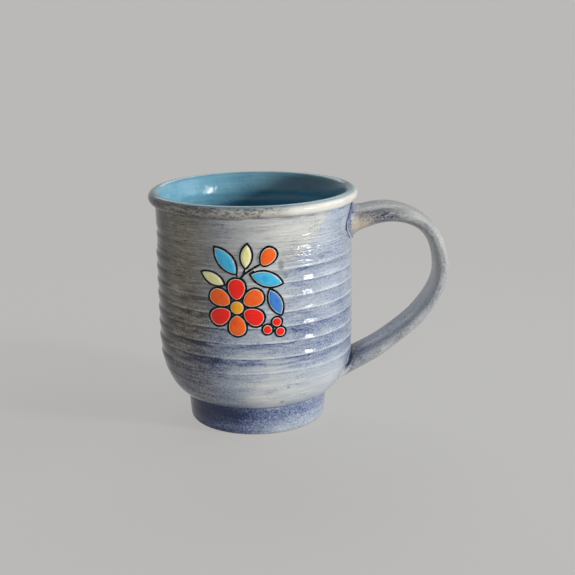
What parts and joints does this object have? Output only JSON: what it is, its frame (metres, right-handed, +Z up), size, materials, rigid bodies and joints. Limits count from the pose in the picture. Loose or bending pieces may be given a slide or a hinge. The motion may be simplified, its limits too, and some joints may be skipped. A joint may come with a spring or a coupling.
{
  "type": "coffee mug",
  "caption": "Hand-thrown coffee mug on a trimmed foot, with finger rings round the wall, a rolled lip, a pulled strap handle and a spray of flowers in raised enamel.",
  "frame": {"origin": "on the mug's turning axis, at the flat face under the foot", "axes": "+Z up along the turning axis, +X towards the handle, -Y towards the enamel flowers"},
  "size_m": [0.1286, 0.0892, 0.1015],
  "materials": {
    "wall_glaze": "glossy grey-white glaze over a cobalt wash wiped round in streaks",
    "foot_glaze": "glossy, mottled dark cobalt",
    "lip_glaze": "glossy grey-white over cobalt streaks",
    "liner_glaze": "glossy opaque sky blue, pooled darker at the bottom",
    "handle_glaze": "glossy grey-white with cobalt pooled in its creases",
    "joint_slip": "glossy, scored, cobalt in the scores",
    "enamel_red": "glossy raised enamel",
    "enamel_orange": "glossy raised enamel",
    "enamel_amber": "glossy raised enamel",
    "enamel_sky": "glossy raised enamel",
    "enamel_blue": "glossy raised enamel",
    "enamel_cream": "glossy raised enamel",
    "line_black": "satin drawn line"
  },
  "bodies": {
    "root": {"foot_ring": "foot_glaze", "mug_wall": "wall_glaze", "rolled_lip": "lip_glaze", "inner_glaze": "liner_glaze", "handle_strap": "handle_glaze", "upper_joint": "joint_slip", "lower_joint": "joint_slip", "petal_1": "enamel_red", "petal_2": "enamel_orange", "petal_3": "enamel_red", "petal_4": "enamel_orange", "petal_5": "enamel_red", "petal_6": "enamel_orange", "blossom_core": "enamel_amber", "bud": "enamel_orange", "leaf_1": "enamel_sky", "leaf_2": "enamel_sky", "leaf_3": "enamel_blue", "leaf_4": "enamel_cream", "leaf_5": "enamel_cream", "berry_1": "enamel_red", "berry_2": "enamel_red", "berry_3": "enamel_red", "blossom_line": "line_black", "spray_line": "line_black"}
  },
  "joints": []
}
